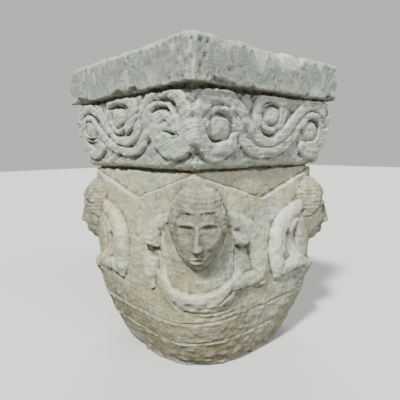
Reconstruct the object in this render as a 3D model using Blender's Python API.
"""Romanesque stone capital carved from one block.

A plain square abacus band sits over a frieze of running scrolls. Under the frieze the bell turns from
square to nearly round, with a sunk V panel on each face and a half figure on each corner: a head, two
raised fists and a hanging fold of cloth between them. Metres, +Z up, origin at the middle of the lower bed.
"""

import math

import bmesh
import bpy
from mathutils import Matrix, Vector

# Heights of the courses, from the bed up
BELL_HEIGHT = 0.367
FRIEZE_HEIGHT = 0.128
ABACUS_HEIGHT = 0.069
QUIRK_HEIGHT = 0.006
FIELD_SPLAY_HEIGHT = 0.010

# Abacus and frieze, measured from the middle of the block to a face
ABACUS_SIDE = 0.400
ABACUS_EDGE = 0.003
FIELD_SETBACK = 0.0125
FIELD_BATTER = 0.0135
FIELD_SPLAY = 0.010
QUIRK_DEPTH = 0.006

# Bell: height, how far a face's middle stands in from the abacus, how much further out a corner reaches.
# The heights are stretched to the bell's own top.
BELL_PROFILE = (
    (0.000, 0.0480, 0.0120),
    (0.030, 0.0380, 0.0210),
    (0.060, 0.0290, 0.0280),
    (0.104, 0.0175, 0.0365),
    (0.140, 0.0145, 0.0405),
    (0.184, 0.0175, 0.0475),
    (0.244, 0.0250, 0.0550),
    (0.300, 0.0300, 0.0600),
    (0.361, 0.0330, 0.0620),
)
BELL_COLUMNS = 44
PANEL_DEPTH = 0.0050
PANEL_HEIGHT = 0.054
PANEL_MARGIN = 0.011

# Scroll of the frieze. The stem is a wave that crests over the volutes and dips under the middle bud.
STEM_WIDTH = 0.0300
STEM_RELIEF = 0.0078
RING_WIDTH = 0.0260
RING_RELIEF = 0.0070
BAND_EDGE = 0.0030
BAND_ROOT = 0.006
VOLUTE_INSET = 0.0400
VOLUTE_RADII = (0.0305, 0.0435)
VOLUTE_DROP = 0.0020
STEM_RISE = 0.0410
BUD_RADII = (0.0260, 0.0290)
BUD_RAISE = 0.0175
BUD_WIDTH = 0.0170
BUD_SHIFT = -0.0080
BOSS_RADII = (0.0205, 0.0235)
BUD_BOSS_RADII = (0.0160, 0.0170)
BOSS_RISE = 0.0060

# Corner figures
HEAD_HEIGHT = 0.146
HEAD_DROP = 0.015
HEAD_HALF_WIDTH = 0.315
HEAD_DEPTH = 0.36
HEAD_BACK = 0.26
FOREHEAD_SETBACK = 0.0248
HAIR_THICKNESS = 0.022
HAIRLINE = 0.20
ARM_RADIUS = 0.0215
FOREARM_RADIUS = 0.0185
FIST_RADIUS = 0.0190
FOLD_RADIUS = 0.0130

# Old damage: radii of the bites out of the abacus's near corner, its top edge and the frieze's near foot
CORNER_BITE = (0.017, 0.017, 0.017)
EDGE_BITE = (0.014, 0.040, 0.009)
EDGE_BITE_PLACE = 0.035
FOOT_BITE = (0.021, 0.021, 0.012)

SCROLL_SHIFTS = ((0.0010, 0.0010), (-0.0010, -0.0015), (0.0, 0.0005), (-0.0008, -0.0006))
FIGURE_TURNS = (1.0, -0.8, 0.5, -0.5)
ARM_SPREADS = ((0.93, 1.08), (1.02, 0.96), (1.0, 1.0), (0.96, 1.02))
STONE_COLOUR = (0.53, 0.54, 0.49, 1.0)
STONE_ROUGHNESS = 0.9

TOP = BELL_HEIGHT + FRIEZE_HEIGHT + ABACUS_HEIGHT
FRIEZE_TOP = BELL_HEIGHT + FRIEZE_HEIGHT
FIELD_FOOT = BELL_HEIGHT + FIELD_SPLAY_HEIGHT
FIELD_TOP_HALF = ABACUS_SIDE / 2 - FIELD_SETBACK
FIELD_FOOT_HALF = FIELD_TOP_HALF - FIELD_BATTER
FIELD_HEIGHT = FRIEZE_TOP - QUIRK_HEIGHT - FIELD_FOOT
BELL_TOP = BELL_HEIGHT - QUIRK_HEIGHT
PANEL_HALF_WIDTH = ABACUS_SIDE / 2 - BELL_PROFILE[-1][1] - PANEL_DEPTH
VOLUTE_PLACE = FIELD_FOOT_HALF - VOLUTE_INSET
HEAD_TOP = BELL_TOP - HEAD_DROP
FOREHEAD_REACH = ABACUS_SIDE / math.sqrt(2) - FOREHEAD_SETBACK
CORNER_ANGLES = [math.radians(a + turn) for a, turn in zip((-45, 45, 135, 225), FIGURE_TURNS)]
FACE_ANGLES = [math.radians(a) for a in (-90, 0, 90, 180)]


def clear_scene():
    for obj in list(bpy.data.objects):
        bpy.data.objects.remove(obj)


def stone():
    material = bpy.data.materials.new("carved_limestone")
    material.use_nodes = True
    shader = material.node_tree.nodes["Principled BSDF"]
    shader.inputs["Base Color"].default_value = STONE_COLOUR
    shader.inputs["Roughness"].default_value = STONE_ROUGHNESS
    return material


def object_from(bm, name):
    bmesh.ops.recalc_face_normals(bm, faces=bm.faces)
    mesh = bpy.data.meshes.new(name)
    bm.to_mesh(mesh)
    bm.free()
    obj = bpy.data.objects.new(name, mesh)
    bpy.context.scene.collection.objects.link(obj)
    return obj


def helper(obj):
    """Marks a piece that is only joined to the stone or cut from it."""
    obj.hide_render = True
    obj.display_type = "WIRE"
    return obj


def lofted(name, loops):
    """A closed solid through loops of as many points each, capped flat at both ends."""
    bm = bmesh.new()
    rings = [[bm.verts.new(point) for point in loop] for loop in loops]
    for low, high in zip(rings, rings[1:]):
        count = len(low)
        for i in range(count):
            bm.faces.new((low[i], low[(i + 1) % count], high[(i + 1) % count], high[i]))
    bm.faces.new(rings[0][::-1])
    bm.faces.new(rings[-1])
    return object_from(bm, name)


def square(half, level):
    return [(sx * half, sy * half, level) for sx, sy in ((1, 1), (-1, 1), (-1, -1), (1, -1))]


def courses():
    """Abacus band, frieze field and the two quirks, as one stack of squares."""
    foot_quirk = PANEL_HALF_WIDTH - QUIRK_DEPTH
    head_quirk = FIELD_TOP_HALF - QUIRK_DEPTH
    steps = [
        (BELL_TOP - QUIRK_HEIGHT, foot_quirk),
        (BELL_HEIGHT, foot_quirk),
        (BELL_HEIGHT, FIELD_FOOT_HALF - FIELD_SPLAY),
        (FIELD_FOOT, FIELD_FOOT_HALF),
        (FRIEZE_TOP - QUIRK_HEIGHT, FIELD_TOP_HALF),
        (FRIEZE_TOP - QUIRK_HEIGHT, head_quirk),
        (FRIEZE_TOP, head_quirk),
        (FRIEZE_TOP, ABACUS_SIDE / 2 - ABACUS_EDGE),
        (FRIEZE_TOP + ABACUS_EDGE, ABACUS_SIDE / 2),
        (TOP - ABACUS_EDGE, ABACUS_SIDE / 2),
        (TOP, ABACUS_SIDE / 2 - ABACUS_EDGE),
    ]
    return lofted("courses", [square(half, level) for level, half in steps])


def bell_rows():
    """Height, and the distances from the axis at the middle of a face and at a corner, for each row."""
    stretch = BELL_TOP / BELL_PROFILE[-1][0]
    rows = []
    for height, inset, further in BELL_PROFILE:
        face = ABACUS_SIDE / 2 - inset
        rows.append((height * stretch, face, face + further))
    return rows


def bell_reach(level):
    """Distances from the axis at the middle of a face and at a corner."""
    rows = bell_rows()
    level = min(max(level, rows[0][0]), rows[-1][0])
    for low, high in zip(rows, rows[1:]):
        if level <= high[0]:
            share = (level - low[0]) / (high[0] - low[0])
            return [low[k] + (high[k] - low[k]) * share for k in (1, 2)]


def bell_radius(angle, level):
    """Distance from the axis to the bell in any direction: a circle low down, nearly a square on top."""
    face, corner = bell_reach(level)
    inverse = 0.5 - math.log2(min(corner / face, math.sqrt(1.96)))
    power = 1 / inverse
    spread = abs(math.cos(angle)) ** power + abs(math.sin(angle)) ** power
    return face / spread ** inverse


def bell():
    turns = [math.tau * i / BELL_COLUMNS for i in range(BELL_COLUMNS)]
    loops = []
    for level, _, _ in bell_rows():
        radii = [bell_radius(turn, level) for turn in turns]
        loops.append([(r * math.cos(t), r * math.sin(t), level) for r, t in zip(radii, turns)])
    return lofted("bell", loops)


def panel_cutter(face_angle):
    """Triangular prism that sinks the V panel of one face."""
    reach = PANEL_HALF_WIDTH - PANEL_MARGIN
    out = ABACUS_SIDE
    high = BELL_TOP + QUIRK_HEIGHT
    low = BELL_TOP - PANEL_HEIGHT
    rise = reach * (high - BELL_TOP) / PANEL_HEIGHT
    outline = [(-reach - rise, high), (0.0, low), (reach + rise, high)]
    loops = [[(depth, along, level) for along, level in outline] for depth in (PANEL_HALF_WIDTH, out)]
    cutter = lofted("panel_cutter", loops)
    cutter.data.transform(Matrix.Rotation(face_angle, 4, "Z"))
    return cutter


def oval(centre, radii, steps):
    angles = [math.tau * i / steps for i in range(steps)]
    return [Vector((centre[0] + radii[0] * math.cos(t), centre[1] + radii[1] * math.sin(t))) for t in angles]


def stem_path():
    """Centreline of the stem over one face, from the crest of one volute to the crest of the other."""
    steps = 20
    points = []
    for i in range(steps + 1):
        along = VOLUTE_PLACE * (2 * i / steps - 1)
        points.append(Vector((along, -STEM_RISE * math.cos(math.pi * along / VOLUTE_PLACE))))
    return points


def ribbon(name, path, width, relief, closed=False):
    """Raised band along a flat path, with sloping sides and its root under the field."""
    count = len(path)
    loops = []
    for i, point in enumerate(path):
        if closed:
            ahead = path[(i + 1) % count] - path[i - 1]
        else:
            ahead = path[min(i + 1, count - 1)] - path[max(i - 1, 0)]
        side = Vector((-ahead.y, ahead.x)).normalized()
        half = width / 2
        section = ((-half, -BAND_ROOT), (-half + BAND_EDGE, relief), (half - BAND_EDGE, relief), (half, -BAND_ROOT))
        loops.append([(*(point + side * across), out) for across, out in section])
    if closed:
        return hoop(name, loops)
    return lofted(name, loops)


def hoop(name, loops):
    """A closed ring through loops of as many points each."""
    bm = bmesh.new()
    rings = [[bm.verts.new(point) for point in loop] for loop in loops]
    for low, high in zip(rings, rings[1:] + rings[:1]):
        count = len(low)
        for i in range(count):
            bm.faces.new((low[i], low[(i + 1) % count], high[(i + 1) % count], high[i]))
    return object_from(bm, name)


def boss(name, centre, radii):
    """Low button inside a volute."""
    rows = ((1.0, -BAND_ROOT), (0.95, BOSS_RISE * 0.6), (0.55, BOSS_RISE))
    loops = []
    for share, out in rows:
        ring = oval(centre, (radii[0] * share, radii[1] * share), 10)
        loops.append([(*point, out) for point in ring])
    return lofted(name, loops)


def frieze_face(index):
    """Stem, volutes, bud and bosses of one face, laid on its leaning field."""
    bud = (BUD_SHIFT, BUD_RAISE)
    pieces = [ribbon("stem", stem_path(), STEM_WIDTH, STEM_RELIEF)]
    pieces.append(ribbon("bud", oval(bud, BUD_RADII, 14), BUD_WIDTH, RING_RELIEF, closed=True))
    pieces.append(boss("bud_boss", bud, BUD_BOSS_RADII))
    for side in (-1, 1):
        place = (side * VOLUTE_PLACE, -VOLUTE_DROP)
        pieces.append(ribbon("volute", oval(place, VOLUTE_RADII, 18), RING_WIDTH, RING_RELIEF, closed=True))
        pieces.append(boss("volute_boss", place, BOSS_RADII))
    lean = math.atan2(FIELD_BATTER, FIELD_HEIGHT)
    middle = (FIELD_FOOT_HALF + FIELD_TOP_HALF) / 2
    along, up = SCROLL_SHIFTS[index]
    # The field's own axes: x along the face, y up it and z out of it
    field = Matrix.Translation((0.0, -middle, FIELD_FOOT + FIELD_HEIGHT / 2))
    field = field @ Matrix.Rotation(math.pi / 2 + lean, 4, "X") @ Matrix.Translation((along, up, 0.0))
    turn = Matrix.Rotation(FACE_ANGLES[index] + math.pi / 2, 4, "Z")
    for piece in pieces:
        piece.data.transform(turn @ field)
    return pieces


def ball(name, segments, rings, radii):
    bm = bmesh.new()
    bmesh.ops.create_uvsphere(bm, u_segments=segments, v_segments=rings, radius=1.0)
    bmesh.ops.scale(bm, vec=radii, verts=bm.verts)
    return object_from(bm, name)


def limb(name, points, radii, flatness=1.0, sides=8):
    """Tapering limb lying on the bell, through points, with blunt ends. Flatness is its depth over its width."""
    loops = []
    for i, (point, radius) in enumerate(zip(points, radii)):
        ahead = (points[min(i + 1, len(points) - 1)] - points[max(i - 1, 0)]).normalized()
        out = Vector((point.x, point.y, 0.0))
        out = (out - ahead * out.dot(ahead)).normalized()
        side = ahead.cross(out)
        turns = [math.tau * (k + 0.5) / sides for k in range(sides)]
        loops.append([point + (out * math.cos(t) * flatness + side * math.sin(t)) * radius for t in turns])
    return lofted(name, loops)


def on_bell(turn, down, proud):
    """A point over the bell, for a figure that faces +X: degrees from its middle and head heights below its crown."""
    angle = math.radians(turn)
    level = HEAD_TOP - HEAD_HEIGHT * down
    radius = bell_radius(angle + math.pi / 4, level) + proud
    return Vector((radius * math.cos(angle), radius * math.sin(angle), level))


def bump(distance, reach):
    """A smooth hump, 1 in its middle and 0 from its reach on."""
    return math.cos(min(1.0, abs(distance) / reach) * math.pi / 2) ** 2


def face_relief(across, up):
    """How far the face stands out there, in head heights. Generic, with the eyes half way up the head."""
    side = abs(across)
    down = min(1.0, max(0.0, (0.05 - up) / 0.25))
    nose = (0.020 + 0.080 * down) * bump(across, 0.035 + 0.040 * down) * (1.0 if up > -0.205 else bump(up + 0.205, 0.045))
    nose *= 1.0 if up < 0.02 else bump(up - 0.02, 0.07)
    brow = 0.030 * bump(up - 0.075, 0.05) * bump(side - 0.12, 0.16)
    socket = -0.040 * bump(up + 0.005, 0.07) * bump(side - 0.125, 0.10)
    lid = 0.030 * bump(up + 0.002, 0.042) * bump(side - 0.125, 0.075)
    lips = 0.030 * (bump(up + 0.295, 0.028) + bump(up + 0.345, 0.030)) * bump(across, 0.115)
    chin = 0.028 * bump(up + 0.435, 0.07) * bump(across, 0.12)
    return nose + brow + socket + lid + lips + chin


def head():
    """Head facing +X, as level slices from the chin to the crown."""
    loops = []
    fronts = [math.pi / 2 * math.copysign(abs(i / 8) ** 1.3, i) for i in range(-8, 9)]
    backs = [math.pi / 2 + math.pi * i / 4 for i in range(1, 4)]
    steps = [(row / 8 - 1) * 0.985 for row in range(17)]
    heights = [0.5 * (1.22 * t - 0.22 * t**3) for t in steps]
    heights = sorted([up for up in heights if abs(up - HAIRLINE) > 0.03] + [HAIRLINE, HAIRLINE + 0.012])
    for up in heights:
        full = min(1.0, abs(2 * up))
        if up > 0:
            width, depth = math.sqrt(1 - full**2.3), math.sqrt(1 - full**2.6)
        else:
            width, depth = (1 - full**2.2) ** 0.60 * (1 - 0.12 * full), (1 - full**3.4) ** 0.5
        width = HEAD_HALF_WIDTH * max(width, 0.16)
        depth = HEAD_DEPTH * max(depth, 0.16)
        if up > HAIRLINE:
            width += HAIR_THICKNESS
            depth += HAIR_THICKNESS
        loop = []
        for turn in fronts:
            across = width * math.sin(turn)
            out = depth * max(0.0, math.cos(turn)) ** 0.9
            loop.append((out + face_relief(across, up) * min(1.0, math.cos(turn) * 2), across, up))
        for turn in backs:
            loop.append((HEAD_BACK * math.cos(turn), width * math.sin(turn), up))
        loops.append([Vector(point) * HEAD_HEIGHT for point in loop])
    piece = lofted("head", loops)
    centre = Vector((FOREHEAD_REACH - HEAD_DEPTH * HEAD_HEIGHT, 0.0, HEAD_TOP - HEAD_HEIGHT / 2))
    piece.data.transform(Matrix.Translation(centre))
    return piece


def figure(index):
    """Half figure on one corner. It is made facing +X and turned to its corner."""
    pieces = [head()]
    for side, spread in zip((-1, 1), ARM_SPREADS[index]):
        shoulder = [on_bell(side * spread * turn, down, -ARM_RADIUS * sink) for turn, down, sink in (
            (9, 0.596, 0.46), (19, 0.658, 0.28), (28, 0.774, 0.14), (33, 0.959, 0.19), (34, 1.178, 0.19), (31.5, 1.336, 0.28))]
        pieces.append(limb("upper_arm", shoulder, [ARM_RADIUS * k for k in (0.8, 0.95, 1.0, 1.0, 0.95, 0.65)], 0.9))
        forearm = [on_bell(side * spread * turn, down, -FOREARM_RADIUS * sink) for turn, down, sink in (
            (31, 1.356, 0.43), (27, 1.240, 0.32), (24.5, 1.068, 0.27), (23.5, 0.904, 0.22))]
        pieces.append(limb("forearm", forearm, [FOREARM_RADIUS * k for k in (0.8, 1.0, 0.95, 0.8)]))
        fist = ball("fist", 9, 6, (FIST_RADIUS, FIST_RADIUS * 1.1, FIST_RADIUS * 1.15))
        fist.data.transform(Matrix.Translation(on_bell(side * spread * 23.2, 0.849, -FIST_RADIUS * 0.05)))
        pieces.append(fist)
    hang = [(16.5, 0.575), (16.6, 0.753), (16.2, 0.945), (14.0, 1.123), (9.5, 1.253), (4.0, 1.322)]
    hang = [(-turn, down) for turn, down in hang] + [(turn, down) for turn, down in reversed(hang)]
    path = [on_bell(turn, down, FOLD_RADIUS * 0.08) for turn, down in hang]
    swell = [FOLD_RADIUS * (0.75 + 0.4 * math.sin(math.pi * i / (len(path) - 1))) for i in range(len(path))]
    pieces.append(limb("cloth_fold", path, swell))
    for piece in pieces:
        piece.data.transform(Matrix.Rotation(CORNER_ANGLES[index], 4, "Z"))
    return pieces


def bites():
    """Middle, radii and turn of each bite, set on the edges that they break."""
    corner = ABACUS_SIDE / 2 + 0.06 * CORNER_BITE[0]
    edge = ABACUS_SIDE / 2 + 0.25 * EDGE_BITE[0]
    foot = FIELD_FOOT_HALF + 0.67 * FOOT_BITE[0]
    return (
        ((corner, -corner, TOP + 0.30 * CORNER_BITE[2]), CORNER_BITE, 45.0),
        ((edge, EDGE_BITE_PLACE, TOP + 0.22 * EDGE_BITE[2]), EDGE_BITE, 0.0),
        ((foot, -foot, FIELD_FOOT + 0.08 * FOOT_BITE[2]), FOOT_BITE, 20.0),
    )


def bite(middle, radii, turn):
    cutter = ball("bite", 12, 8, radii)
    cutter.data.transform(Matrix.Translation(middle) @ Matrix.Rotation(math.radians(turn), 4, "Z"))
    return cutter


def boolean(stone_block, piece, operation, solver="EXACT"):
    modifier = stone_block.modifiers.new(piece.name, "BOOLEAN")
    modifier.operation = operation
    modifier.object = helper(piece)
    modifier.solver = solver


def main():
    clear_scene()
    block = bell()
    block.name = "capital"
    for face_angle in FACE_ANGLES:
        boolean(block, panel_cutter(face_angle), "DIFFERENCE")
    boolean(block, courses(), "UNION")
    for index in range(4):
        for piece in frieze_face(index):
            boolean(block, piece, "UNION")
    for middle, radii, turn in bites():
        boolean(block, bite(middle, radii, turn), "DIFFERENCE")
    # The exact solver drops the stone at the crossing limbs, so the figures are joined by the other one
    for index in range(4):
        for piece in figure(index):
            boolean(block, piece, "UNION", "MANIFOLD")
    block.data.materials.append(stone())


main()
